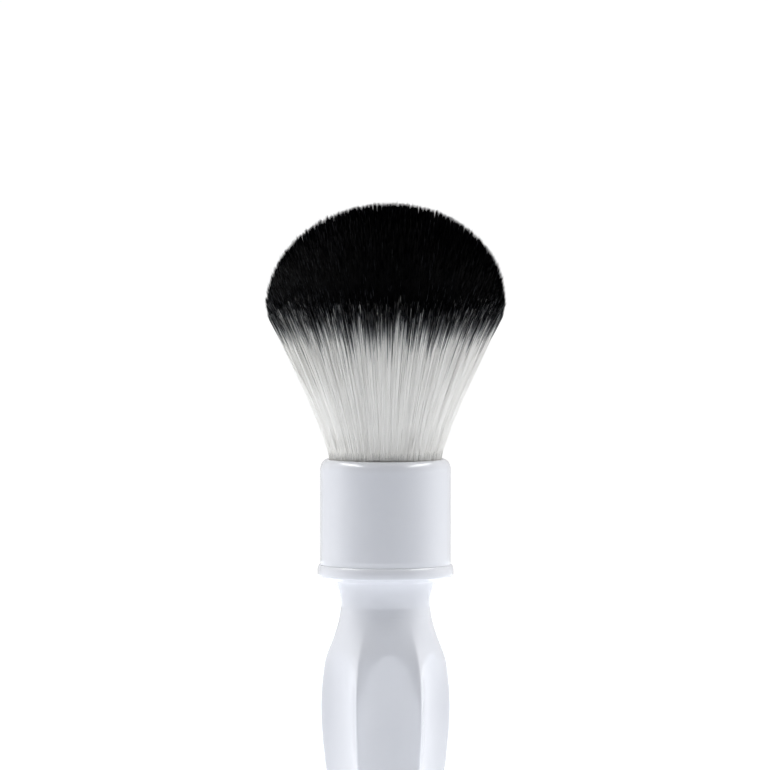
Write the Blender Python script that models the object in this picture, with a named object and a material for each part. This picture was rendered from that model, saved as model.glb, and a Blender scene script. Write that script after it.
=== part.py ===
"""A shaving brush: a two-tone fan of bristles in a cup, a glossy collar and a moulded, fluted grip.

The brush stands on its foot. +Z is up along the brush, the origin is the centre of the underside of the
foot, and the front is -Y.
"""

import math

import bmesh
import bpy
from mathutils import Vector

MM = 0.001
GAP = 0.3
TURN = 2.0 * math.pi

# Overall heights, in millimetres above the surface the foot stands on.
FOOT_Z = 0.0
RIM_TOP_Z = 61.05
COLLAR_TOP_Z = 82.2
WIDEST_Z = 113.6
APEX_Z = 133.4

# Bristles: a fan with an elliptical dome.
BRISTLE_LIP_R = 11.0
BRISTLE_WIDEST_R = 23.85
BRISTLE_ROOT_R = 7.7
BRISTLE_ROOT_Z = 70.7
BRISTLE_WAIST_TOP_Z = 75.7
BRISTLE_FLARE_R = 8.7
BRISTLE_FLARE_Z = 76.6
FLANK = (
    (COLLAR_TOP_Z - 2.2, BRISTLE_LIP_R),
    (COLLAR_TOP_Z, 11.15),
    (92.2, 14.65),
    (104.4, 20.1),
    (110.0, 23.1),
    (WIDEST_Z, BRISTLE_WIDEST_R),
)

# Collar: a sleeve with the socket for the bristles above and a spigot below.
COLLAR_R = 13.07
SOCKET_R = 11.3
SOCKET_FLOOR_Z = 64.6
COLLAR_BOTTOM_Z = RIM_TOP_Z + GAP
LIP_ACROSS = 1.5
LIP_ALONG = 2.2
LIP_INNER_RADIUS = 0.25
COLLAR_EDGE = 0.3
SPIGOT_R = 5.5
SPIGOT_BORE_R = 3.2
SPIGOT_BOTTOM_Z = 48.0
SPIGOT_CHAMFER = 0.5
SPIGOT_BORE_TOP_Z = 60.0

# Grip: rim with a slanting underside, neck, fluted bulb, lower waist and foot.
RIM_R = 13.6
RIM_TOP_ACROSS = 0.5
RIM_TOP_ALONG = 1.2
RIM_WIDEST_Z = 59.2
RIM_EDGE = 0.5
RIM_UNDER_R = 10.9
RIM_UNDER_Z = 58.0
NECK_R = 8.97
NECK_Z = 52.6
FOOT_R = 14.2
FOOT_EDGE = 0.8
FOOT_SHOULDER = 1.2
FOOT_TOP_Z = 3.5
WAIST_R = 9.9
WAIST_Z = 8.8
BODY = (
    (WAIST_Z, WAIST_R),
    (15.0, 11.0),
    (22.0, 12.3),
    (32.4, 13.15),
    (41.2, 12.25),
    (47.0, 10.2),
    (50.2, 9.28),
    (NECK_Z, NECK_R),
)
BORE_BOTTOM_R = 7.4
BORE_TOP_R = 6.3
BORE_STEP_Z = 47.4
SPIGOT_SEAT_R = SPIGOT_R + GAP
RECESS_R = 11.8
RECESS_TOP_Z = 1.8

# Flutes of the grip: six hollow panels between ridges that follow the bulb's outline.
FLUTES = 6
FLUTE_TURN = math.radians(3.5)
FLUTE_FLOOR = (
    (10.0, 10.05),
    (15.0, 10.0),
    (22.0, 9.8),
    (30.0, 9.8),
    (37.0, 9.95),
    (43.5, 10.25),
    (45.0, 10.1),
    (51.0, 9.12),
)

# Base cap: a disc flush with the foot and a tubular plug in the bore.
CAP_R = RECESS_R - GAP
CAP_THICK = RECESS_TOP_Z - GAP
CAP_EDGE = 0.25
PLUG_R = 6.8
PLUG_BORE_R = 5.3
PLUG_TOP_Z = 7.2
PLUG_CHAMFER = 0.5

# Inside the socket: adhesive bed, cup, resin plug and binding.
BED_R = SOCKET_R - GAP
BED_INNER_R = 10.3
BED_FLOOR_Z = SOCKET_FLOOR_Z + GAP
BED_FLOOR_THICK = 0.6
BED_TOP_Z = 71.5
CUP_R = BED_INNER_R - GAP
CUP_WALL = 0.9
CUP_FLOOR_Z = BED_FLOOR_Z + BED_FLOOR_THICK + GAP
CUP_FLOOR_THICK = 0.9
CUP_TOP_Z = 76.4
CUP_CHAMFER = 0.5
RESIN_R = CUP_R - CUP_WALL - GAP
RESIN_LOW_Z = CUP_FLOOR_Z + CUP_FLOOR_THICK + GAP
RESIN_TOP_Z = BRISTLE_ROOT_Z - GAP
RESIN_CHAMFER = 0.4
BINDING_R = 8.75
BINDING_INNER_R = BRISTLE_ROOT_R + GAP
BINDING_LOW_Z = 71.2
BINDING_TURNS = 6
THREAD = 0.7

# Smoothness of the turned shapes.
SEGMENTS = 60
GRIP_SEGMENTS = 60
INNER_SEGMENTS = 40
SHARP_ANGLE = math.radians(28.0)


def paint(name, colour, roughness, coat=0.0):
    """A plain material of one colour."""
    made = bpy.data.materials.new(name)
    made.use_nodes = True
    shader = made.node_tree.nodes["Principled BSDF"]
    shader.inputs["Base Color"].default_value = (*colour, 1.0)
    shader.inputs["Roughness"].default_value = roughness
    shader.inputs["Metallic"].default_value = 0.0
    shader.inputs["Coat Weight"].default_value = coat
    made.diffuse_color = (*colour, 1.0)
    return made


def arc(centre_r, centre_z, across, along, start, end, steps):
    """Points on an elliptical arc in the profile plane, with the angles in degrees from +R towards +Z."""
    points = []
    for step in range(steps + 1):
        angle = math.radians(start + (end - start) * step / steps)
        points.append((centre_r + across * math.cos(angle), centre_z + along * math.sin(angle)))
    return points


def end_slope(width, next_width, rise, next_rise):
    """The slope at the end of a smooth curve, held so that the curve stays within its stations."""
    slope = ((2.0 * width + next_width) * rise - width * next_rise) / (width + next_width)
    if slope * rise <= 0.0:
        return 0.0
    if rise * next_rise <= 0.0 and abs(slope) > 3.0 * abs(rise):
        return 3.0 * rise
    return slope


def smooth(stations, steps):
    """Points on a smooth curve through (height, radius) stations that never overshoots them."""
    heights = [station[0] for station in stations]
    radii = [station[1] for station in stations]
    widths = [b - a for a, b in zip(heights, heights[1:])]
    rises = [(b - a) / width for a, b, width in zip(radii, radii[1:], widths)]
    slopes = [end_slope(widths[0], widths[1], rises[0], rises[1])]
    for index in range(1, len(rises)):
        before, after = rises[index - 1], rises[index]
        if before * after <= 0.0:
            slopes.append(0.0)
            continue
        first = 2.0 * widths[index] + widths[index - 1]
        second = widths[index] + 2.0 * widths[index - 1]
        slopes.append((first + second) / (first / before + second / after))
    slopes.append(end_slope(widths[-1], widths[-2], rises[-1], rises[-2]))
    points = []
    for index, width in enumerate(widths):
        for step in range(steps):
            t = step / steps
            from_first = radii[index] * (1.0 + 2.0 * t) * (1.0 - t) ** 2
            from_next = radii[index + 1] * t * t * (3.0 - 2.0 * t)
            from_slopes = slopes[index] * t * (1.0 - t) ** 2 - slopes[index + 1] * t * t * (1.0 - t)
            points.append((from_first + from_next + width * from_slopes, heights[index] + width * t))
    points.append((radii[-1], heights[-1]))
    return points


def clean(points):
    """The profile in metres, with repeated points dropped."""
    kept = []
    for radius, height in points:
        if not kept or math.dist(kept[-1], (radius, height)) > 0.01:
            kept.append((radius, height))
    return [(radius * MM, height * MM) for radius, height in kept]


def finish(name, mesh, material):
    """Places a mesh as a named object with round faces shaded smooth."""
    made = bpy.data.objects.new(name, mesh)
    bpy.context.collection.objects.link(made)
    mesh.materials.append(material)
    for face in mesh.polygons:
        face.use_smooth = True
    mesh.set_sharp_from_angle(angle=SHARP_ANGLE)
    return made


def turned(name, profile, segments, material, closed, start=0.0, reshape=None):
    """A solid turned about +Z from a profile, which starts and ends on the axis unless it is closed."""
    build = bmesh.new()
    across, along = math.cos(start), math.sin(start)
    verts = [build.verts.new((radius * across, radius * along, height)) for radius, height in clean(profile)]
    edges = [build.edges.new(pair) for pair in zip(verts, verts[1:])]
    if closed:
        edges.append(build.edges.new((verts[-1], verts[0])))
    bmesh.ops.spin(
        build,
        geom=verts + edges,
        cent=(0.0, 0.0, 0.0),
        axis=(0.0, 0.0, 1.0),
        angle=TURN,
        steps=segments,
        use_merge=True,
    )
    bmesh.ops.remove_doubles(build, verts=build.verts, dist=0.000001)
    if reshape is not None:
        for vert in build.verts:
            vert.co = reshape(vert.co)
    bmesh.ops.recalc_face_normals(build, faces=build.faces)
    mesh = bpy.data.meshes.new(name)
    build.to_mesh(mesh)
    build.free()
    return finish(name, mesh, material)


def panel_radius(turn, ridge, floor):
    """The radius of a flute at an angle from its middle: an arc from ridge to ridge through its floor."""
    chord = ridge * math.cos(math.pi / FLUTES)
    if abs(floor - chord) < 0.001:
        return floor / math.cos(turn)
    centre = (floor**2 - ridge**2) / (2.0 * (floor - chord))
    bow = math.sqrt((centre - floor) ** 2 - (centre * math.sin(turn)) ** 2)
    if floor > chord:
        return centre * math.cos(turn) + bow
    return centre * math.cos(turn) - bow


def level(stations, height):
    """The radius at a height of the curve through (height, radius) stations."""
    points = smooth(stations, 8)
    for (radius, low), (next_radius, high) in zip(points, points[1:]):
        if low <= height <= high:
            return radius + (next_radius - radius) * (height - low) / (high - low)
    return points[0][0] if height < points[0][1] else points[-1][0]


def flute(place):
    """Moves a point of the bulb's outer wall in to the flutes."""
    height = place.z / MM
    ridge = math.hypot(place.x, place.y) / MM
    if not FLUTE_FLOOR[0][0] < height < FLUTE_FLOOR[-1][0] or ridge < BORE_BOTTOM_R + GAP:
        return place
    sector = TURN / FLUTES
    turn = (math.atan2(place.y, place.x) + math.pi / 2.0 - FLUTE_TURN + sector / 2.0) % sector - sector / 2.0
    floor = min(level(FLUTE_FLOOR, height), ridge)
    scale = panel_radius(turn, ridge, floor) / ridge
    return Vector((place.x * scale, place.y * scale, place.z))


def bristles():
    """The bristle bundle: bound roots, a flare out of the cup, the fan and the dome."""
    dome = arc(0.0, WIDEST_Z, BRISTLE_WIDEST_R, APEX_Z - WIDEST_Z, 0.0, 90.0, 14)
    profile = [(0.0, BRISTLE_ROOT_Z), (BRISTLE_ROOT_R, BRISTLE_ROOT_Z)]
    profile += [(BRISTLE_ROOT_R, BRISTLE_WAIST_TOP_Z), (BRISTLE_FLARE_R, BRISTLE_FLARE_Z)]
    profile += smooth(FLANK, 3) + dome[1:-1] + [(0.0, APEX_Z)]
    return turned("bristle_bundle", profile, SEGMENTS, paint("bristle", (0.33, 0.33, 0.32), 0.55), False)


def binding():
    """The thread wound round the roots, as a band with one ridge a turn."""
    profile = [(BINDING_INNER_R, BINDING_LOW_Z)]
    for index in range(BINDING_TURNS):
        middle = BINDING_LOW_Z + (index + 0.5) * THREAD
        profile += arc(BINDING_R - THREAD / 2.0, middle, THREAD / 2.0, THREAD / 2.0, -60.0, 60.0, 3)
    profile.append((BINDING_INNER_R, BINDING_LOW_Z + BINDING_TURNS * THREAD))
    return turned("root_binding", profile, INNER_SEGMENTS, paint("thread", (0.72, 0.68, 0.60), 0.8), True)


def resin():
    """The cast resin plug below the roots."""
    profile = [(0.0, RESIN_LOW_Z), (RESIN_R - RESIN_CHAMFER, RESIN_LOW_Z)]
    profile.append((RESIN_R, RESIN_LOW_Z + RESIN_CHAMFER))
    profile += [(RESIN_R, RESIN_TOP_Z), (0.0, RESIN_TOP_Z)]
    return turned("knot_plug", profile, INNER_SEGMENTS, paint("resin", (0.62, 0.55, 0.40), 0.35), False)


def cup():
    """The thin cup that holds the roots, the binding and the resin."""
    inner = CUP_R - CUP_WALL
    floor = CUP_FLOOR_Z + CUP_FLOOR_THICK
    profile = [(0.0, CUP_FLOOR_Z), (CUP_R - CUP_CHAMFER, CUP_FLOOR_Z), (CUP_R, CUP_FLOOR_Z + CUP_CHAMFER)]
    profile += [(CUP_R, CUP_TOP_Z), (inner, CUP_TOP_Z), (inner, floor), (0.0, floor)]
    return turned("knot_cup", profile, INNER_SEGMENTS, paint("cup_plastic", (0.82, 0.82, 0.80), 0.45), False)


def bed():
    """The bed of adhesive between the cup and the socket."""
    top = BED_FLOOR_Z + BED_FLOOR_THICK
    profile = [(0.0, BED_FLOOR_Z), (BED_R, BED_FLOOR_Z), (BED_R, BED_TOP_Z)]
    profile += [(BED_INNER_R, BED_TOP_Z), (BED_INNER_R, top), (0.0, top)]
    adhesive = paint("adhesive", (0.78, 0.76, 0.68), 0.4)
    return turned("socket_adhesive", profile, INNER_SEGMENTS, adhesive, False)


def collar():
    """The glossy sleeve with its socket above and its spigot below."""
    profile = [(0.0, SPIGOT_BORE_TOP_Z), (SPIGOT_BORE_R, SPIGOT_BORE_TOP_Z)]
    profile.append((SPIGOT_BORE_R, SPIGOT_BOTTOM_Z))
    profile += [(SPIGOT_R - SPIGOT_CHAMFER, SPIGOT_BOTTOM_Z), (SPIGOT_R, SPIGOT_BOTTOM_Z + SPIGOT_CHAMFER)]
    profile.append((SPIGOT_R, COLLAR_BOTTOM_Z))
    edge_r = COLLAR_R - COLLAR_EDGE
    profile += arc(edge_r, COLLAR_BOTTOM_Z + COLLAR_EDGE, COLLAR_EDGE, COLLAR_EDGE, -90.0, 0.0, 3)
    profile += arc(COLLAR_R - LIP_ACROSS, COLLAR_TOP_Z - LIP_ALONG, LIP_ACROSS, LIP_ALONG, 0.0, 90.0, 7)
    inner_centre = SOCKET_R + LIP_INNER_RADIUS
    profile += arc(
        inner_centre, COLLAR_TOP_Z - LIP_INNER_RADIUS, LIP_INNER_RADIUS, LIP_INNER_RADIUS, 90.0, 180.0, 3
    )
    profile += [(SOCKET_R, SOCKET_FLOOR_Z), (0.0, SOCKET_FLOOR_Z)]
    return turned("collar", profile, SEGMENTS, paint("collar_plastic", (0.86, 0.86, 0.87), 0.08, 0.3), False)


def grip():
    """The moulded grip: rim, neck, fluted bulb, waist and foot, with a bore closed from below."""
    profile = [(RECESS_R, FOOT_Z)]
    profile += arc(FOOT_R - FOOT_EDGE, FOOT_Z + FOOT_EDGE, FOOT_EDGE, FOOT_EDGE, -90.0, 0.0, 4)
    shoulder_r = FOOT_R - FOOT_SHOULDER
    profile += arc(shoulder_r, FOOT_TOP_Z - FOOT_SHOULDER, FOOT_SHOULDER, FOOT_SHOULDER, 0.0, 80.0, 5)
    profile += arc(shoulder_r, WAIST_Z, shoulder_r - WAIST_R, WAIST_Z - FOOT_TOP_Z, 264.0, 180.0, 7)[:-1]
    profile += smooth(BODY, 4)
    profile += arc(RIM_UNDER_R, NECK_Z, RIM_UNDER_R - NECK_R, RIM_UNDER_Z - NECK_Z, 180.0, 96.0, 8)[1:]
    profile += arc(RIM_R - RIM_EDGE, RIM_WIDEST_Z, RIM_EDGE, RIM_EDGE, -74.0, 0.0, 3)
    shoulder_z = RIM_TOP_Z - RIM_TOP_ALONG
    profile += arc(RIM_R - RIM_TOP_ACROSS, shoulder_z, RIM_TOP_ACROSS, RIM_TOP_ALONG, 0.0, 90.0, 4)
    profile += [(SPIGOT_SEAT_R, RIM_TOP_Z), (SPIGOT_SEAT_R, BORE_STEP_Z), (BORE_TOP_R, BORE_STEP_Z)]
    profile += [(BORE_BOTTOM_R, RECESS_TOP_Z), (RECESS_R, RECESS_TOP_Z)]
    plastic = paint("grip_plastic", (0.86, 0.86, 0.87), 0.08, 0.3)
    return turned("grip", profile, GRIP_SEGMENTS, plastic, True, FLUTE_TURN, flute)


def base_cap():
    """The cap that closes the bore, flush with the underside of the foot."""
    profile = [(0.0, FOOT_Z)]
    profile += arc(CAP_R - CAP_EDGE, FOOT_Z + CAP_EDGE, CAP_EDGE, CAP_EDGE, -90.0, 0.0, 2)
    profile += [(CAP_R, CAP_THICK), (PLUG_R, CAP_THICK), (PLUG_R, PLUG_TOP_Z - PLUG_CHAMFER)]
    profile.append((PLUG_R - PLUG_CHAMFER, PLUG_TOP_Z))
    profile += [(PLUG_BORE_R, PLUG_TOP_Z), (PLUG_BORE_R, CAP_THICK), (0.0, CAP_THICK)]
    return turned("base_cap", profile, SEGMENTS, paint("cap_plastic", (0.80, 0.80, 0.81), 0.4), False)


def main():
    for old in list(bpy.data.objects):
        bpy.data.objects.remove(old, do_unlink=True)
    bristles()
    binding()
    resin()
    cup()
    bed()
    collar()
    grip()
    base_cap()


main()
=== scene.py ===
"""The looks of a shaving brush: separate fibres for the bristles, and smooth glossy mouldings below.

Everything is in metres in the frame of the CAD model: +Z up along the brush, the origin under the foot,
and the front towards -Y. The fan and the ends of each moulding are read from the CAD nodes.
"""

import math

import bmesh
import bpy
import numpy as np
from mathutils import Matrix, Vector


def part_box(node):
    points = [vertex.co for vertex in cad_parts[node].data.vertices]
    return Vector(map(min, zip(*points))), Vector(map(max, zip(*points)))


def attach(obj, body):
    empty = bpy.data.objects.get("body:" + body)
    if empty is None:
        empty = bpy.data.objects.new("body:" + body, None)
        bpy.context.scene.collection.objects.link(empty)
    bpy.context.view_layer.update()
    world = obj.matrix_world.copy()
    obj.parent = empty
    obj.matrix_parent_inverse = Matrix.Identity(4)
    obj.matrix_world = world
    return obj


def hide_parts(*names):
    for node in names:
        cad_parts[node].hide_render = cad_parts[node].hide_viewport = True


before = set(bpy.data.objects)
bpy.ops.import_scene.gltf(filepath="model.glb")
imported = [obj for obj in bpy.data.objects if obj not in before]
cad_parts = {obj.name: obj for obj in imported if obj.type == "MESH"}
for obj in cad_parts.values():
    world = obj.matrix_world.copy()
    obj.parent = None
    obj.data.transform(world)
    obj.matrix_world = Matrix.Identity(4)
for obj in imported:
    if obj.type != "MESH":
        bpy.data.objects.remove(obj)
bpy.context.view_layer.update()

MM = 0.001
TURN = 2.0 * math.pi
BODY = "root"
GAP = 0.3
SHARP_ANGLE = math.radians(40.0)
FIBRE_SEED = 11

# Grip outline, in millimetres, the same as the CAD model's. Stations are (height, radius).
RIM_R = 13.6
RIM_TOP_ACROSS = 0.5
RIM_TOP_ALONG = 1.2
RIM_WIDEST_Z = 59.2
RIM_EDGE = 0.5
RIM_UNDER_R = 10.9
RIM_UNDER_Z = 58.0
NECK_R = 8.97
NECK_Z = 52.6
FOOT_R = 14.2
FOOT_EDGE = 0.8
FOOT_SHOULDER = 1.2
FOOT_TOP_Z = 3.5
WAIST_R = 9.9
WAIST_Z = 8.8
GRIP_BODY = (
    (WAIST_Z, WAIST_R),
    (15.0, 11.0),
    (22.0, 12.3),
    (32.4, 13.15),
    (41.2, 12.25),
    (47.0, 10.2),
    (50.2, 9.28),
    (NECK_Z, NECK_R),
)
BORE_BOTTOM_R = 7.4
BORE_TOP_R = 6.3
BORE_STEP_Z = 47.4
SPIGOT_SEAT_R = 5.8
RECESS_R = 11.8
RECESS_TOP_Z = 1.8

# Flutes of the grip. FLUTE_FLOOR is (height, radius) at the middle of a flute.
FLUTES = 6
FLUTE_TURN = math.radians(3.5)
FLUTE_FLOOR = (
    (10.0, 10.05),
    (15.0, 10.0),
    (22.0, 9.8),
    (30.0, 9.8),
    (37.0, 9.95),
    (43.5, 10.25),
    (45.0, 10.1),
    (51.0, 9.12),
)
RIDGE_ROUNDING = math.radians(2.2)
GRIP_SEGMENTS = 360

# Collar, in millimetres, the same as the CAD model's but for the finer edges at its lower rim.
SOCKET_R = 11.3
SOCKET_FLOOR_Z = 64.6
LIP_ACROSS = 1.5
LIP_ALONG = 2.2
LIP_INNER_RADIUS = 0.25
COLLAR_SEAM = 0.01
COLLAR_EDGE = 0.03
COLLAR_SEGMENTS = 288
LONGEST_RUN = 1.2
SPIGOT_R = 5.5
SPIGOT_CHAMFER_ACROSS = 0.5
SPIGOT_CHAMFER_ALONG = 0.6
SPIGOT_BORE_R = 3.2
SPIGOT_BORE_TOP_Z = 60.0

# Bristles: counts, shares of the bundle's radius, and millimetres.
# A fibre's spot is its place in the bundle, as a point in the unit disc.
OUTER_FIBRES = 14000
OUTER_PIECES = 8
OUTER_SHARE = 0.94
INNER_FIBRES = 30000
INNER_PIECES = 4
TUFT_SPACING = 0.024
TUFT_UNEVEN = 0.15
DOME_SHIFT = 0.025
CORE_SHARE = 0.972
CORE_DEPTH = 2.0
CORE_SEGMENTS = 240
STRAIGHT_BELOW_WIDEST = 9.2
DOME_FROM_STRAIGHT = 3.6
SPREAD_SLOPE = 0.52
LEAN = (0.15, 0.45)
STRAY = 0.005
SHORT_SHARE = 0.2
LONGEST_CUT = 6.0
TIP_SCATTER = 0.15
INNER_TIP_SCATTER = 0.12
ROOT_RADIUS = 0.068
TIP_RADIUS = 0.010
TAPER = 10.0
TAPER_POWER = 0.55
INNER_RADII = (0.085, 0.060, 0.034)

# Stations along a fibre: rises above the collar's lip, rises above its tip, and places in its fade.
SOCKET_RISES = (-3.0, -0.4)
# Where the painted shade at the roots gives way to white, and how much that varies from fibre to fibre.
ROOT_SHADE_RISES = (1.0, 2.7)
ROOT_SHADE_SPREAD = (0.8, 1.3)
WHITE_RISES = (7.0, 12.0)
FADE_STATIONS = 7
LEAST_STEP = 0.05
CLEAR_OF_TIP = 1.6
TIP_RISES = (-0.9, -0.3, 0.0)
INNER_TIP_RISES = (-6.0, -2.6, -0.9, 0.0)

# Ripples round the bundle: each is (fewest waves, most waves, strength).
SWING = ((9, 24, 0.0012), (30, 70, 0.0006), (90, 160, 0.0004))
PUFF = ((8, 20, 0.0007), (24, 60, 0.0007), (80, 150, 0.0005))

# The change from white to black: its mean height, ripples and scatter, and the length of a fibre's fade.
CHANGE_Z = 107.8
CHANGE_DRIFT = ((5, 14, 0.3), (20, 60, 0.35), (80, 200, 0.5))
CHANGE_SCATTER = 1.9
FADE = (2.0, 5.5)
LATE_SHARE = (0.05, 0.07)
LATE_FADE = (3.0, 7.0)
OFF_HEIGHT = (2.0, 8.0)
EARLY_SHARE = 0.02

# How the shades are shared out, and the pale wisps in the black: (everywhere, added on the far left).
WHITE_SHARES = (0.4, 0.3, 0.2, 0.1)
BLACK_SHARES = (0.45, 0.28, 0.27)
INNER_BLACK_SHARES = (0.45, 0.25, 0.30)
DARKEST_GREY_SHARE = (0.10, 0.20)
SECOND_GREY_SHARE = (0.02, 0.07)
# Painted glint: the share of inner fibres given the lighter black that stands in for sheen, (everywhere,
# added on the far left).
PAINTED_GLINT_SHARE = (0.01, 0.10)
WISP_SHARE = (0.10, 0.30)
WISP_RISE = 8.0
WISP_SECOND_GREY = 0.4

# Camera: a long lens in front, a little above the top of the brush and looking slightly down.
CAMERA_PLACE = (0.0, -1.12, 0.146)
CAMERA_AIM = (-0.0001, 0.0, 0.097)
CAMERA_LENS = 261.8

# Studio: the brightness of the surroundings against Y, from behind the camera to behind the brush.
STUDIO_LIGHT = (
    (-1.0, 0.009),
    (-0.85, 0.014),
    (-0.7, 0.107),
    (-0.5, 0.335),
    (-0.3, 0.651),
    (-0.1, 1.014),
    (0.1, 1.254),
    (0.4, 1.08),
    (1.0, 0.62),
)
STUDIO_PEAK = 1.4
SOFTBOX_LIGHT = 7.0
SOFTBOX_RISE = (0.64, 0.72)
SOFTBOX_SIDE = (0.5, 0.6)
BACKDROP_LIGHT = 1.02
TABLE_R = 0.68
TABLE_COLOUR = (0.865, 0.89, 0.935)
TABLE_GLOW = 0.26


# ---------------------------------------------------------------- outlines


def node_outline(name):
    """The largest radius of a CAD node at each of its heights, as two arrays in millimetres."""
    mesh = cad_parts[name].data
    places = np.empty(len(mesh.vertices) * 3)
    mesh.vertices.foreach_get("co", places)
    places = places.reshape(-1, 3) / MM
    radii = np.hypot(places[:, 0], places[:, 1])
    heights = np.unique(np.round(places[:, 2], 2))
    widest = [radii[np.abs(places[:, 2] - height) < 0.011].max() for height in heights]
    return heights, np.array(widest)


def arc(centre_r, centre_z, across, along, start, end, steps):
    """Points on an elliptical arc of a profile, with the angles in degrees from +R towards +Z."""
    angles = np.radians(np.linspace(start, end, steps + 1))
    return list(zip(centre_r + across * np.cos(angles), centre_z + along * np.sin(angles)))


def end_slope(width, next_width, rise, next_rise):
    """The slope at the end of a smooth curve, held so that the curve stays within its stations."""
    slope = ((2.0 * width + next_width) * rise - width * next_rise) / (width + next_width)
    if slope * rise <= 0.0:
        return 0.0
    if rise * next_rise <= 0.0 and abs(slope) > 3.0 * abs(rise):
        return 3.0 * rise
    return slope


def smooth(stations, steps):
    """Points on a smooth curve through (height, radius) stations that never overshoots them."""
    heights, radii = zip(*stations)
    widths = np.diff(heights)
    rises = np.diff(radii) / widths
    slopes = [end_slope(widths[0], widths[1], rises[0], rises[1])]
    for index in range(1, len(rises)):
        before, after = rises[index - 1], rises[index]
        if before * after <= 0.0:
            slopes.append(0.0)
            continue
        first = 2.0 * widths[index] + widths[index - 1]
        second = widths[index] + 2.0 * widths[index - 1]
        slopes.append((first + second) / (first / before + second / after))
    slopes.append(end_slope(widths[-1], widths[-2], rises[-1], rises[-2]))
    points = []
    for index, width in enumerate(widths):
        for t in np.arange(steps) / steps:
            from_first = radii[index] * (1.0 + 2.0 * t) * (1.0 - t) ** 2
            from_next = radii[index + 1] * t * t * (3.0 - 2.0 * t)
            leaving = slopes[index] * t * (1.0 - t) ** 2
            arriving = slopes[index + 1] * t * t * (1.0 - t)
            from_slopes = width * (leaving - arriving)
            points.append((from_first + from_next + from_slopes, heights[index] + width * t))
    points.append((radii[-1], heights[-1]))
    return points


def spaced(points, longest):
    """The profile with long straight runs divided, and repeated points dropped."""
    kept = [points[0]]
    for point in points[1:]:
        gap = math.dist(kept[-1], point)
        if gap < 0.01:
            continue
        pieces = max(1, math.ceil(gap / longest))
        start = kept[-1]
        for piece in range(1, pieces + 1):
            share = piece / pieces
            kept.append(tuple(a + (b - a) * share for a, b in zip(start, point)))
    return kept


# ---------------------------------------------------------------- meshes


def add_object(name, mesh, materials):
    made = bpy.data.objects.new(name, mesh)
    bpy.context.collection.objects.link(made)
    for material in materials:
        mesh.materials.append(material)
    return made


def turned(name, profile, segments, material, closed, start=0.0, reshape=None):
    """A solid turned about +Z from a profile in millimetres, then reshaped by a function of its points."""
    build = bmesh.new()
    across, along = math.cos(start) * MM, math.sin(start) * MM
    verts = [build.verts.new((radius * across, radius * along, height * MM)) for radius, height in profile]
    edges = [build.edges.new(pair) for pair in zip(verts, verts[1:])]
    if closed:
        edges.append(build.edges.new((verts[-1], verts[0])))
    bmesh.ops.spin(
        build,
        geom=verts + edges,
        cent=(0.0, 0.0, 0.0),
        axis=(0.0, 0.0, 1.0),
        angle=TURN,
        steps=segments,
        use_merge=True,
    )
    bmesh.ops.remove_doubles(build, verts=build.verts, dist=0.0000005)
    bmesh.ops.recalc_face_normals(build, faces=build.faces)
    mesh = bpy.data.meshes.new(name)
    build.to_mesh(mesh)
    build.free()
    if reshape is not None:
        places = np.empty(len(mesh.vertices) * 3)
        mesh.vertices.foreach_get("co", places)
        mesh.vertices.foreach_set("co", reshape(places.reshape(-1, 3)).ravel())
    mesh.shade_smooth()
    mesh.set_sharp_from_angle(angle=SHARP_ANGLE)
    mesh.update()
    return add_object(name, mesh, [material])


def panel_radius(turn, ridge, floor):
    """The radius of a flute at an angle from its middle: an arc from ridge to ridge through its floor."""
    chord = ridge * math.cos(math.pi / FLUTES)
    bow = floor - chord
    bow = np.where(np.abs(bow) < 0.002, 0.002, bow)
    centre = (floor**2 - ridge**2) / (2.0 * bow)
    reach = np.sqrt(np.maximum((centre - floor) ** 2 - (centre * np.sin(turn)) ** 2, 0.0))
    return centre * np.cos(turn) + np.sign(bow) * reach


def flute(places):
    """The turned grip with its bulb drawn in to the flutes, finer and slightly rounded at the ridges."""
    radii = np.hypot(places[:, 0], places[:, 1]) / MM
    heights = places[:, 2] / MM
    half = math.pi / FLUTES
    angles = np.arctan2(places[:, 1], places[:, 0]) + math.pi / 2.0 - FLUTE_TURN + half
    sector = np.floor(angles / (2.0 * half) + 1e-6)
    across = angles / half - 2.0 * sector - 1.0
    turn = half * np.sin(across * math.pi / 2.0)
    new_angles = turn + 2.0 * half * sector + FLUTE_TURN - math.pi / 2.0
    off_ridge = np.sqrt((half - np.abs(turn)) ** 2 + RIDGE_ROUNDING**2)
    floor_radii, floor_heights = np.array(smooth(FLUTE_FLOOR, 16)).T
    floor = np.minimum(np.interp(heights, floor_heights, floor_radii), radii)
    rounded = panel_radius(half - RIDGE_ROUNDING, radii, floor)
    shaped = panel_radius(half - off_ridge, radii**2 / np.maximum(rounded, 1.0), floor)
    fluted = (heights > FLUTE_FLOOR[0][0]) & (heights < FLUTE_FLOOR[-1][0])
    outer_wall = radii > BORE_BOTTOM_R + GAP
    radii = np.where(fluted & outer_wall, shaped, radii) * MM
    return np.stack([radii * np.cos(new_angles), radii * np.sin(new_angles), places[:, 2]], axis=1)


# ---------------------------------------------------------------- materials


def start_material(name, colour, roughness, **sockets):
    """A Principled material with plain values on its sockets, and the tools to add nodes to it."""
    made = bpy.data.materials.new(name)
    made.use_nodes = True
    shader = made.node_tree.nodes["Principled BSDF"]
    shader.inputs["Base Color"].default_value = (*colour, 1.0)
    shader.inputs["Roughness"].default_value = roughness
    for socket, value in sockets.items():
        shader.inputs[socket.replace("_", " ")].default_value = value
    return made, made.node_tree, shader


def node(tree, kind, **settings):
    made = tree.nodes.new(kind)
    for name, value in settings.items():
        setattr(made, name, value)
    return made


def noise(tree, coordinates, scale, detail=3.0, roughness=0.55):
    made = node(tree, "ShaderNodeTexNoise")
    tree.links.new(coordinates, made.inputs["Vector"])
    made.inputs["Scale"].default_value = scale
    made.inputs["Detail"].default_value = detail
    made.inputs["Roughness"].default_value = roughness
    return made.outputs["Fac"]


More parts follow.
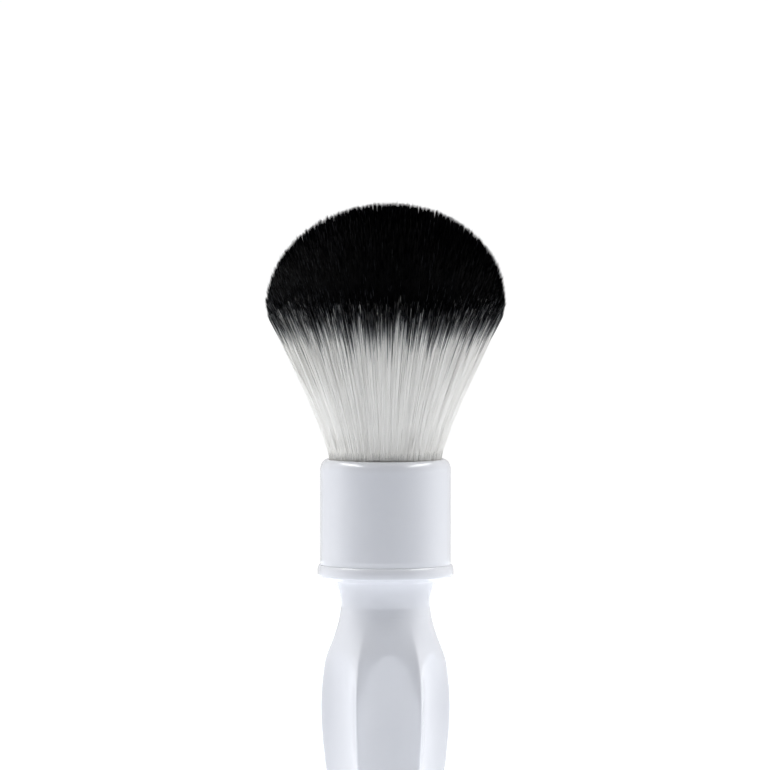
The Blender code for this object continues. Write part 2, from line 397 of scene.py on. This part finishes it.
def stretched(tree, coordinates, scale):
    made = node(tree, "ShaderNodeVectorMath", operation="MULTIPLY")
    tree.links.new(coordinates, made.inputs[0])
    made.inputs[1].default_value = scale
    return made.outputs[0]


def ramp(tree, factor, stops):
    """A colour ramp over (position, colour) stops."""
    made = node(tree, "ShaderNodeValToRGB")
    tree.links.new(factor, made.inputs["Fac"])
    elements = made.color_ramp.elements
    while len(elements) < len(stops):
        elements.new(0.5)
    for element, (position, colour) in zip(elements, stops):
        element.position = position
        element.color = (*colour, 1.0)
    return made.outputs["Color"]


def maths(tree, operation, first, second, third=None):
    made = node(tree, "ShaderNodeMath", operation=operation)
    for index, value in enumerate((first, second, third)):
        if value is None:
            continue
        if isinstance(value, (int, float)):
            made.inputs[index].default_value = value
        else:
            tree.links.new(value, made.inputs[index])
    return made.outputs[0]


def bump(tree, shader, height, distance, strength=1.0):
    made = node(tree, "ShaderNodeBump")
    made.inputs["Strength"].default_value = strength
    made.inputs["Distance"].default_value = distance
    tree.links.new(height, made.inputs["Height"])
    tree.links.new(made.outputs["Normal"], shader.inputs["Normal"])


def object_coordinates(tree):
    return node(tree, "ShaderNodeTexCoord").outputs["Object"]


def glossy_plastic(name):
    """Polished white plastic: faint milky mottling, uneven gloss from handling, hairline scuffs."""
    made, tree, shader = start_material(name, (0.705, 0.715, 0.755), 0.08, Specular_IOR_Level=0.8)
    place = object_coordinates(tree)
    mottle = noise(tree, place, 95.0, 4.0)
    colour = ramp(tree, mottle, ((0.3, (0.695, 0.706, 0.746)), (0.7, (0.715, 0.725, 0.762))))
    tree.links.new(colour, shader.inputs["Base Color"])
    handled = noise(tree, place, 140.0, 5.0, 0.6)
    scuffs = noise(tree, stretched(tree, place, (900.0, 900.0, 9000.0)), 1.0, 2.0)
    worn = maths(tree, "MULTIPLY_ADD", handled, 0.07, 0.035)
    gloss = maths(tree, "MULTIPLY_ADD", scuffs, 0.03, worn)
    tree.links.new(gloss, shader.inputs["Roughness"])
    bump(tree, shader, noise(tree, place, 520.0, 2.0), 0.000012)
    return made


def satin_plastic(name, colour, grain):
    """Moulded satin plastic with a fine spark-eroded grain."""
    made, tree, shader = start_material(name, colour, 0.42)
    place = object_coordinates(tree)
    fine = noise(tree, place, grain, 3.0, 0.6)
    darker = tuple(0.93 * value for value in colour)
    tree.links.new(ramp(tree, fine, ((0.3, darker), (0.7, colour))), shader.inputs["Base Color"])
    tree.links.new(maths(tree, "MULTIPLY_ADD", fine, 0.18, 0.34), shader.inputs["Roughness"])
    bump(tree, shader, fine, 0.00004)
    return made


def thread_material():
    """Waxed thread, with the slant of its twist."""
    made, tree, shader = start_material("thread", (0.70, 0.66, 0.58), 0.75, Sheen_Weight=0.2)
    place = object_coordinates(tree)
    twist = node(tree, "ShaderNodeTexWave", bands_direction="DIAGONAL")
    twist.inputs["Scale"].default_value = 900.0
    twist.inputs["Distortion"].default_value = 1.5
    tree.links.new(place, twist.inputs["Vector"])
    colour = ramp(tree, twist.outputs["Fac"], ((0.2, (0.55, 0.51, 0.43)), (0.8, (0.75, 0.71, 0.63))))
    tree.links.new(colour, shader.inputs["Base Color"])
    bump(tree, shader, twist.outputs["Fac"], 0.00008)
    return made


def cast_material(name, light, dark, roughness):
    """A cast or set liquid: cloudy, with a slightly uneven skin."""
    made, tree, shader = start_material(name, light, roughness)
    place = object_coordinates(tree)
    cloud = noise(tree, place, 260.0, 4.0)
    tree.links.new(ramp(tree, cloud, ((0.35, dark), (0.65, light))), shader.inputs["Base Color"])
    bump(tree, shader, noise(tree, place, 420.0, 2.0), 0.00006)
    return made


# Shades of a fibre along its length. Each face of a fibre takes one of these, so each shade is plain.
FIBRE_WHITES = (
    (0.957, 0.942, 0.903),
    (0.947, 0.931, 0.890),
    (0.968, 0.956, 0.922),
    (0.928, 0.911, 0.868),
)
FIBRE_GREYS = (
    (0.72, 0.71, 0.68),
    (0.46, 0.463, 0.455),
    (0.25, 0.254, 0.255),
    (0.115, 0.119, 0.124),
    (0.042, 0.045, 0.050),
    (0.013, 0.0145, 0.017),
)
FIBRE_BLACKS = (
    (0.0002, 0.0002, 0.0005),
    (0.0007, 0.0008, 0.0015),
    (0.0002, 0.0002, 0.0003),
    # The fourth is a painted glint: a lighter black that stands in for sheen, on a truly glossier fibre.
    (0.0130, 0.0150, 0.0200),
)
BLACK_GLOSS = (0.004, 0.016, 0.0, 0.3)

# Shades counted from the first black. The greys are for fibres that never turn quite black.
# The painted glint: the lighter black, which stands in for sheen on a few black fibres.
PAINTED_GLINT_BLACK = 3
DARKEST_GREY = -1
SECOND_GREY = -2


def fibre_materials():
    """One material for each shade, from the whites at the root to the blacks at the tip."""
    made = []
    shades = (
        ("white", FIBRE_WHITES, (0.3,) * len(FIBRE_WHITES)),
        ("grey", FIBRE_GREYS, (0.2,) * len(FIBRE_GREYS)),
        ("black", FIBRE_BLACKS, BLACK_GLOSS),
    )
    for word, colours, glosses in shades:
        for index, (colour, gloss) in enumerate(zip(colours, glosses)):
            name = f"fibre_{word}_{index + 1}"
            material, _, _ = start_material(name, colour, 0.45, Specular_IOR_Level=gloss)
            made.append(material)
    return made


def bundle_material():
    """The mass of fibres below the outer ones: streaks along the fan, off-white below and black above."""
    made, tree, shader = start_material("bundle", (0.6, 0.6, 0.58), 0.7, Specular_IOR_Level=0.05)
    place = object_coordinates(tree)
    split = node(tree, "ShaderNodeSeparateXYZ")
    tree.links.new(place, split.inputs[0])
    angle = maths(tree, "ARCTAN2", split.outputs["Y"], split.outputs["X"])
    around = node(tree, "ShaderNodeCombineXYZ")
    tree.links.new(maths(tree, "COSINE", angle, 0.0), around.inputs["X"])
    tree.links.new(maths(tree, "SINE", angle, 0.0), around.inputs["Y"])
    tree.links.new(maths(tree, "MULTIPLY", split.outputs["Z"], 6.0), around.inputs["Z"])
    fine = noise(tree, around.outputs[0], 70.0, 3.0, 0.6)
    broad = noise(tree, around.outputs[0], 14.0, 2.0)
    shift = maths(tree, "MULTIPLY_ADD", fine, 0.012, -0.006)
    shift = maths(tree, "MULTIPLY_ADD", broad, 0.006, shift)
    level = maths(tree, "ADD", split.outputs["Z"], shift)
    fade, rise = 10.0 * MM, 3.0 * MM
    height = maths(tree, "MULTIPLY_ADD", level, 1.0 / fade, 0.5 - (CHANGE_Z * MM + rise) / fade)
    white = ramp(tree, fine, ((0.3, (0.915, 0.90, 0.86)), (0.7, (0.957, 0.942, 0.903))))
    mix = node(tree, "ShaderNodeMix", data_type="RGBA", clamp_factor=True)
    tree.links.new(height, mix.inputs["Factor"])
    tree.links.new(white, mix.inputs["A"])
    mix.inputs["B"].default_value = (0.0010, 0.0010, 0.0013, 1.0)
    colour = next(output for output in mix.outputs if output.type == "RGBA")
    tree.links.new(colour, shader.inputs["Base Color"])
    bump(tree, shader, fine, 0.0001)
    return made


# ---------------------------------------------------------------- bristles


class Fan:
    """The envelope of the bristles, read from the CAD node, and the lines its fibres follow."""

    def __init__(self):
        self.heights, self.radii = node_outline("bristle_bundle")
        self.lip_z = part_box("collar")[1][2] / MM
        self.apex_z = self.heights[-1]
        self.widest = self.radii.max()
        self.widest_z = self.heights[self.radii.argmax()]
        self.straight_z = self.widest_z - STRAIGHT_BELOW_WIDEST
        rows = np.linspace(self.straight_z + DOME_FROM_STRAIGHT, self.apex_z, 600)
        share = self.outline(rows) / self.spread(rows)
        self.tip_rows = rows[::-1]
        self.tip_share = np.maximum.accumulate(share[::-1])

    def outline(self, height):
        return np.interp(height, self.heights, self.radii)

    def spread(self, height):
        """The radius at each height of the outermost fibre, were it never cut."""
        low = self.outline(np.minimum(height, self.straight_z))
        return low + SPREAD_SLOPE * np.maximum(height - self.straight_z, 0.0)

    def tip(self, spots):
        """The height at which each fibre is cut. The dome stands a little to the right of the axis."""
        share = np.hypot(spots[:, 0], spots[:, 1])
        off_centre = np.hypot(spots[:, 0] - DOME_SHIFT * (1.0 - share**2), spots[:, 1])
        return np.interp(off_centre, self.tip_share, self.tip_rows)


def tuft_centres(spots, spacing, rng):
    """For each spot, the middle of the small tuft that its tip leans to, and the tuft's number."""
    cells = np.floor(spots / spacing).astype(int)
    size = int(2.4 / spacing) + 4
    index = (cells[:, 0] + size // 2) * size + cells[:, 1] + size // 2
    jitter = rng.uniform(-0.35, 0.35, (size * size, 2))
    return (cells + 0.5 + jitter[index]) * spacing, index


def tuft_heights(spots):
    """How far each fibre's tuft stands above or below the dome, in millimetres."""
    _, tuft = tuft_centres(spots, TUFT_SPACING, np.random.default_rng(FIBRE_SEED + 1))
    uneven = np.random.default_rng(FIBRE_SEED + 3).normal(0.0, TUFT_UNEVEN, tuft.max() + 1)
    return uneven[tuft]


def waves(angles, share, strengths, rng):
    """Smooth irregular ripples round the bundle, as a sum of sines that drift with depth."""
    total = np.zeros_like(angles)
    for low, high, strength in strengths:
        for count in rng.integers(low, high, 5):
            phase, drift = rng.uniform(0.0, TURN, 2)
            total += strength * np.sin(count * angles + phase + drift * 3.0 * share)
    return total


def fibre_paths(fan, spots, heights, rng_seed):
    """Where each fibre is at its heights: an array of fibres by stations by XYZ, in millimetres."""
    rng = np.random.default_rng(rng_seed)
    share = np.hypot(spots[:, 0], spots[:, 1])
    angles = np.arctan2(spots[:, 1], spots[:, 0])
    centres, _ = tuft_centres(spots, TUFT_SPACING, rng)
    lean = rng.uniform(*LEAN, len(spots))
    swing = waves(angles, share, SWING, rng)
    puff = waves(angles, share, PUFF, rng)
    stray = rng.normal(0.0, STRAY, (len(spots), 2))
    progress = np.clip((heights - fan.lip_z) / (fan.tip(spots) - fan.lip_z)[:, None], 0.0, 1.05)
    bend = progress**2
    x = spots[:, :1] + (centres[:, :1] - spots[:, :1]) * lean[:, None] * bend + stray[:, :1] * bend
    y = spots[:, 1:] + (centres[:, 1:] - spots[:, 1:]) * lean[:, None] * bend + stray[:, 1:] * bend
    turn = swing[:, None] * progress
    x, y = x * np.cos(turn) - y * np.sin(turn), x * np.sin(turn) + y * np.cos(turn)
    reach = fan.spread(heights) * (1.0 + puff[:, None] * np.minimum(progress * 3.0, 1.0))
    return np.stack([x * reach, y * reach, heights], axis=2)


def tube_mesh(name, paths, thickness, slots, materials, phase):
    """Thin three-sided fibres along paths, closed at both ends, with a material slot for each stretch."""
    count, stations, _ = paths.shape
    along = np.gradient(paths, axis=1)
    along /= np.linalg.norm(along, axis=2, keepdims=True)
    side = np.cross(along, np.array([0.0, 0.0, 1.0]) + 0.2 * along[:, :, ::-1])
    side /= np.maximum(np.linalg.norm(side, axis=2, keepdims=True), 1e-9)
    other = np.cross(along, side)
    corners = phase[:, None] + np.arange(3) * TURN / 3.0
    ring = (
        side[:, :, None, :] * np.cos(corners)[:, None, :, None]
        + other[:, :, None, :] * np.sin(corners)[:, None, :, None]
    )
    points = (paths[:, :, None, :] + ring * thickness[:, :, None, None]) * MM
    first = (np.arange(count) * stations * 3)[:, None, None]
    level = (np.arange(stations - 1) * 3)[None, :, None]
    corner = np.arange(3)[None, None, :]
    after = (corner + 1) % 3
    a = first + level + corner
    b = first + level + after
    quads = np.stack([a, b, b + 3, a + 3], axis=3).reshape(-1, 4)
    starts = np.arange(count) * stations * 3
    bottoms = np.stack([starts + 2, starts + 1, starts], axis=1)
    last = starts + (stations - 1) * 3
    tops = np.stack([last, last + 1, last + 2], axis=1)
    slot = np.concatenate([np.repeat(slots.reshape(-1), 3), slots[:, 0], slots[:, -1]])
    corners_of = np.concatenate([quads.ravel(), bottoms.ravel(), tops.ravel()])
    sizes = np.concatenate([np.full(len(quads), 4), np.full(2 * count, 3)])
    mesh = bpy.data.meshes.new(name)
    mesh.vertices.add(points.size // 3)
    mesh.vertices.foreach_set("co", points.ravel())
    mesh.loops.add(len(corners_of))
    mesh.loops.foreach_set("vertex_index", corners_of)
    mesh.polygons.add(len(sizes))
    mesh.polygons.foreach_set("loop_start", np.concatenate([[0], np.cumsum(sizes)[:-1]]))
    mesh.polygons.foreach_set("material_index", slot)
    mesh.update(calc_edges=True)
    mesh.shade_smooth()
    return add_object(name, mesh, materials)


def shade_slots(middles, change, blend, whites, blacks):
    """The material slot of each stretch of each fibre, from its height against its own change of colour."""
    steps = len(FIBRE_GREYS)
    level = np.floor((middles - change[:, None]) / blend[:, None] * steps + steps / 2.0).astype(int)
    grey = len(FIBRE_WHITES) + np.clip(level, 0, steps - 1)
    white = np.broadcast_to(whites[:, None], middles.shape)
    black = np.broadcast_to((len(FIBRE_WHITES) + steps + blacks)[:, None], middles.shape)
    return np.where(level < 0, white, np.where(level >= steps, black, grey))


def more_on_left(share, leftward):
    """A share of the fibres that grows to the left, as (everywhere, added on the far left)."""
    everywhere, added = share
    return everywhere + added * leftward


def scattered_disc(count, low, high, rng):
    """Evenly scattered spots in a ring of the unit disc, with a little disorder."""
    turns = np.arange(count) * math.pi * (3.0 - math.sqrt(5.0))
    area = low**2 + (high**2 - low**2) * (np.arange(count) + 0.5) / count
    radius = np.sqrt(area) + rng.normal(0.0, 0.004, count)
    radius = np.clip(radius, 0.0, 1.0)
    turns = turns + rng.normal(0.0, 0.02, count)
    return np.stack([radius * np.cos(turns), radius * np.sin(turns)], axis=1)


def split_pieces(name, groups, count, paths, thickness, slots, materials, phase):
    """One object for each group of fibres."""
    made = []
    for index in range(count):
        chosen = groups == index
        fibres = (paths[chosen], thickness[chosen], slots[chosen], materials, phase[chosen])
        made.append(tube_mesh(f"{name}_{index + 1}", *fibres))
    return made


def outer_fibres(fan, materials):
    """Whole fibres of the outer layer, from inside the collar to their tips, in sectors round the brush."""
    rng = np.random.default_rng(FIBRE_SEED)
    spots = scattered_disc(OUTER_FIBRES, OUTER_SHARE, 1.0, rng)
    share = np.hypot(spots[:, 0], spots[:, 1])
    angles = np.arctan2(spots[:, 1], spots[:, 0])
    short = (rng.random(OUTER_FIBRES) < SHORT_SHARE) * rng.uniform(0.0, LONGEST_CUT, OUTER_FIBRES)
    tips = fan.tip(spots) + tuft_heights(spots) - short + rng.normal(0.0, TIP_SCATTER, OUTER_FIBRES)
    drift = waves(angles, share, CHANGE_DRIFT, rng)
    change = CHANGE_Z + drift + rng.normal(0.0, CHANGE_SCATTER, OUTER_FIBRES)
    leftward = np.maximum(-np.cos(angles), 0.0)
    odd = rng.random(OUTER_FIBRES)
    late = odd < more_on_left(LATE_SHARE, leftward)
    early = odd > 1.0 - EARLY_SHARE
    change += late * rng.uniform(*OFF_HEIGHT, OUTER_FIBRES)
    change -= early * rng.uniform(*OFF_HEIGHT, OUTER_FIBRES)
    blend = rng.uniform(*FADE, OUTER_FIBRES)
    blend += late * rng.uniform(*LATE_FADE, OUTER_FIBRES)
    fixed = fan.lip_z + np.array([*SOCKET_RISES, *ROOT_SHADE_RISES, *WHITE_RISES])
    uneven = np.array([0.0, 0.0, *ROOT_SHADE_SPREAD, 0.0, 0.0])
    low = fixed + uneven * rng.uniform(-1.0, 1.0, (OUTER_FIBRES, 1))
    middle = change[:, None] + blend[:, None] * np.linspace(-0.5, 0.5, FADE_STATIONS)
    middle = np.clip(middle, fixed[-1] + 0.5, tips[:, None] - CLEAR_OF_TIP)
    middle = middle + np.arange(FADE_STATIONS) * LEAST_STEP
    high = tips[:, None] + np.array(TIP_RISES)
    heights = np.concatenate([low, middle, high], axis=1)
    paths = fibre_paths(fan, spots, heights, FIBRE_SEED + 1)
    to_tip = np.clip((tips[:, None] - heights) / TAPER, 0.0, 1.0)
    thickness = TIP_RADIUS + (ROOT_RADIUS - TIP_RADIUS) * to_tip**TAPER_POWER
    middles = 0.5 * (heights[:, 1:] + heights[:, :-1])
    whites = rng.choice(len(WHITE_SHARES), OUTER_FIBRES, p=WHITE_SHARES)
    blacks = rng.choice(len(BLACK_SHARES), OUTER_FIBRES, p=BLACK_SHARES)
    pale = rng.random(OUTER_FIBRES)
    blacks[pale < more_on_left(DARKEST_GREY_SHARE, leftward)] = DARKEST_GREY
    blacks[pale < more_on_left(SECOND_GREY_SHARE, leftward)] = SECOND_GREY
    slots = shade_slots(middles, change, blend, whites, blacks)
    # Painted shade: the lowest stretches, in the shade of the collar's mouth, take the lightest grey, then
    # the last white.
    slots[:, :2] = len(FIBRE_WHITES)
    slots[:, 2] = len(FIBRE_WHITES) - 1
    phase = rng.uniform(0.0, TURN, OUTER_FIBRES)
    sector = np.floor((angles / TURN + 0.5) * OUTER_PIECES).astype(int) % OUTER_PIECES
    return split_pieces("outer_fibres", sector, OUTER_PIECES, paths, thickness, slots, materials, phase)


def inner_fibres(fan, materials):
    """The ends of the fibres inside the bundle, which show only on the dome."""
    rng = np.random.default_rng(FIBRE_SEED + 2)
    spots = scattered_disc(INNER_FIBRES, 0.0, OUTER_SHARE + 0.01, rng)
    share = np.hypot(spots[:, 0], spots[:, 1])
    tips = fan.tip(spots) + tuft_heights(spots) + rng.normal(0.0, INNER_TIP_SCATTER, INNER_FIBRES)
    heights = tips[:, None] + np.array(INNER_TIP_RISES)
    paths = fibre_paths(fan, spots, heights, FIBRE_SEED + 1)
    thickness = np.broadcast_to(np.array([*INNER_RADII, TIP_RADIUS]), heights.shape)
    leftward = np.maximum(-spots[:, 0], 0.0)
    blacks = rng.choice(len(INNER_BLACK_SHARES), INNER_FIBRES, p=INNER_BLACK_SHARES)
    # Painted glint: a share of fibres, more of them on the left, take the lighter black that stands in for
    # sheen.
    blacks[rng.random(INNER_FIBRES) < more_on_left(PAINTED_GLINT_SHARE, leftward)] = PAINTED_GLINT_BLACK
    first_black = len(FIBRE_WHITES) + len(FIBRE_GREYS)
    low_down = 1.0 - np.clip((tips - fan.widest_z) / WISP_RISE, 0.0, 1.0)
    pale = rng.random(INNER_FIBRES) < low_down**2 * more_on_left(WISP_SHARE, leftward)
    greys = np.where(rng.random(INNER_FIBRES) < WISP_SECOND_GREY, SECOND_GREY, DARKEST_GREY)
    shades = first_black + np.where(pale, greys, blacks)
    slots = np.broadcast_to(shades[:, None], (INNER_FIBRES, 3))
    phase = rng.uniform(0.0, TURN, INNER_FIBRES)
    ring = np.minimum((share / (OUTER_SHARE + 0.02)) ** 2 * INNER_PIECES, INNER_PIECES - 1).astype(int)
    return split_pieces("inner_fibres", ring, INNER_PIECES, paths, thickness, slots, materials, phase)


def bundle_core(fan, material):
    """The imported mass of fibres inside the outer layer, with its roots bound as in the CAD model."""
    below = fan.heights < fan.lip_z - 1.0
    profile = [(0.0, fan.heights[0])]
    profile += [(radius, height) for height, radius in zip(fan.heights[below], fan.radii[below])]
    for height in np.linspace(fan.lip_z, fan.apex_z - CORE_DEPTH, 80):
        inside = CORE_SHARE * fan.outline(height)
        dome = fan.outline(height + CORE_DEPTH) if height > fan.straight_z else inside
        profile.append((min(inside, dome), height))
    profile.append((0.0, fan.apex_z - CORE_DEPTH + 0.1))
    return turned("bristle_core", profile, CORE_SEGMENTS, material, False)


def make_bristles():
    fan = Fan()
    shades = fibre_materials()
    core = bundle_core(fan, bundle_material())
    for piece in [core, *outer_fibres(fan, shades), *inner_fibres(fan, shades)]:
        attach(piece, BODY)
        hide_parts("bristle_bundle")


# ---------------------------------------------------------------- collar and grip


def make_collar(material):
    """The collar turned finely: the CAD sleeve with the same socket and spigot and a polished lip."""
    low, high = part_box("collar")
    top = high[2] / MM
    radius = high[0] / MM
    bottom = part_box("grip")[1][2] / MM + COLLAR_SEAM
    spigot_z = low[2] / MM
    profile = [(0.0, SPIGOT_BORE_TOP_Z), (SPIGOT_BORE_R, SPIGOT_BORE_TOP_Z), (SPIGOT_BORE_R, spigot_z)]
    profile += [(SPIGOT_R - SPIGOT_CHAMFER_ACROSS, spigot_z), (SPIGOT_R, spigot_z + SPIGOT_CHAMFER_ALONG)]
    profile += [(SPIGOT_R, bottom)]
    profile += arc(radius - COLLAR_EDGE, bottom + COLLAR_EDGE, COLLAR_EDGE, COLLAR_EDGE, -90.0, 0.0, 6)
    profile += arc(radius - LIP_ACROSS, top - LIP_ALONG, LIP_ACROSS, LIP_ALONG, 0.0, 90.0, 20)
    inner_r, inner_z = SOCKET_R + LIP_INNER_RADIUS, top - LIP_INNER_RADIUS
    profile += arc(inner_r, inner_z, LIP_INNER_RADIUS, LIP_INNER_RADIUS, 90.0, 180.0, 6)
    profile += [(SOCKET_R, SOCKET_FLOOR_Z), (0.0, SOCKET_FLOOR_Z)]
    made = turned("collar_moulding", spaced(profile, LONGEST_RUN), COLLAR_SEGMENTS, material, False)
    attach(made, BODY)
    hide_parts("collar")


def make_grip(material):
    """The grip turned finely: slanting rim, cove, neck, fluted bulb and foot."""
    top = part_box("grip")[1][2] / MM
    shoulder = FOOT_R - FOOT_SHOULDER
    profile = [(RECESS_R, 0.0)]
    profile += arc(FOOT_R - FOOT_EDGE, FOOT_EDGE, FOOT_EDGE, FOOT_EDGE, -90.0, 0.0, 10)
    profile += arc(shoulder, FOOT_TOP_Z - FOOT_SHOULDER, FOOT_SHOULDER, FOOT_SHOULDER, 0.0, 80.0, 12)
    profile += arc(shoulder, WAIST_Z, shoulder - WAIST_R, WAIST_Z - FOOT_TOP_Z, 264.0, 180.0, 20)[:-1]
    profile += smooth(GRIP_BODY, 14)
    profile += arc(RIM_UNDER_R, NECK_Z, RIM_UNDER_R - NECK_R, RIM_UNDER_Z - NECK_Z, 180.0, 96.0, 24)[1:]
    profile += arc(RIM_R - RIM_EDGE, RIM_WIDEST_Z, RIM_EDGE, RIM_EDGE, -74.0, 0.0, 10)
    rim_r, rim_z = RIM_R - RIM_TOP_ACROSS, top - RIM_TOP_ALONG
    profile += arc(rim_r, rim_z, RIM_TOP_ACROSS, RIM_TOP_ALONG, 0.0, 90.0, 14)
    profile += [(SPIGOT_SEAT_R, top), (SPIGOT_SEAT_R, BORE_STEP_Z), (BORE_TOP_R, BORE_STEP_Z)]
    profile += [(BORE_BOTTOM_R, RECESS_TOP_Z), (RECESS_R, RECESS_TOP_Z)]
    made = turned("grip_moulding", profile, GRIP_SEGMENTS, material, True, FLUTE_TURN, flute)
    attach(made, BODY)
    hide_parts("grip")


def finish_inner_pieces():
    """Better materials for the CAD pieces that stay as they are."""
    finishes = {
        "root_binding": thread_material(),
        "knot_plug": cast_material("resin", (0.66, 0.58, 0.42), (0.50, 0.42, 0.28), 0.3),
        "knot_cup": satin_plastic("cup_plastic", (0.82, 0.82, 0.80), 900.0),
        "socket_adhesive": cast_material("adhesive", (0.80, 0.78, 0.70), (0.70, 0.67, 0.58), 0.4),
        "base_cap": satin_plastic("cap_plastic", (0.80, 0.80, 0.81), 1400.0),
    }
    for name, material in finishes.items():
        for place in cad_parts[name].material_slots:
            place.material = material


# ---------------------------------------------------------------- studio


def soft_step(tree, value, edges, height):
    """Zero below the first edge, the height above the second, and a smooth rise between them."""
    made = node(tree, "ShaderNodeMapRange", interpolation_type="SMOOTHSTEP")
    tree.links.new(value, made.inputs["Value"])
    made.inputs["From Min"].default_value, made.inputs["From Max"].default_value = edges
    return maths(tree, "MULTIPLY", made.outputs["Result"], height)


def studio_world():
    """A white studio: dark behind the camera, soft sides, and a softbox high on the left and right."""
    world = bpy.data.worlds.new("studio")
    world.use_nodes = True
    tree = world.node_tree
    background = tree.nodes["Background"]
    direction = node(tree, "ShaderNodeSeparateXYZ")
    tree.links.new(node(tree, "ShaderNodeTexCoord").outputs["Generated"], direction.inputs[0])
    along = maths(tree, "MULTIPLY_ADD", direction.outputs["Y"], 0.5, 0.5)
    stops = [((y + 1.0) / 2.0, (light / STUDIO_PEAK,) * 3) for y, light in STUDIO_LIGHT]
    sides = maths(tree, "MULTIPLY", ramp(tree, along, stops), STUDIO_PEAK)
    sideways = maths(tree, "ABSOLUTE", direction.outputs["X"], 0.0)
    above = soft_step(tree, direction.outputs["Z"], SOFTBOX_RISE, 1.0)
    above = soft_step(tree, sideways, SOFTBOX_SIDE, maths(tree, "MULTIPLY", above, SOFTBOX_LIGHT))
    path = node(tree, "ShaderNodeLightPath")
    strength = node(tree, "ShaderNodeMix", data_type="FLOAT")
    tree.links.new(path.outputs["Is Camera Ray"], strength.inputs["Factor"])
    tree.links.new(maths(tree, "ADD", sides, above), strength.inputs[2])
    strength.inputs[3].default_value = BACKDROP_LIGHT
    tree.links.new(strength.outputs[0], background.inputs["Strength"])
    background.inputs["Color"].default_value = (1.0, 1.0, 1.0, 1.0)
    bpy.context.scene.world = world


def make_floor():
    """A plain pale table, lit softly from within as a light table is."""
    made, _, shader = start_material("table", TABLE_COLOUR, 0.5)
    shader.inputs["Emission Color"].default_value = (*TABLE_COLOUR, 1.0)
    shader.inputs["Emission Strength"].default_value = TABLE_GLOW
    bpy.ops.mesh.primitive_circle_add(vertices=128, radius=TABLE_R, fill_type="NGON")
    floor = bpy.context.object
    floor.name = "table"
    floor.data.materials.append(made)


def make_camera():
    data = bpy.data.cameras.new("camera")
    data.lens = CAMERA_LENS
    data.sensor_width = 36.0
    data.clip_start = 0.01
    made = bpy.data.objects.new("camera", data)
    made.location = CAMERA_PLACE
    aim = Vector(CAMERA_AIM) - Vector(CAMERA_PLACE)
    made.rotation_euler = aim.to_track_quat("-Z", "Y").to_euler()
    bpy.context.collection.objects.link(made)
    bpy.context.scene.camera = made


make_camera()
studio_world()
make_floor()
make_bristles()
plastic = glossy_plastic("white_plastic")
make_collar(plastic)
make_grip(plastic)
finish_inner_pieces()
bpy.context.scene.view_settings.view_transform = "Standard"
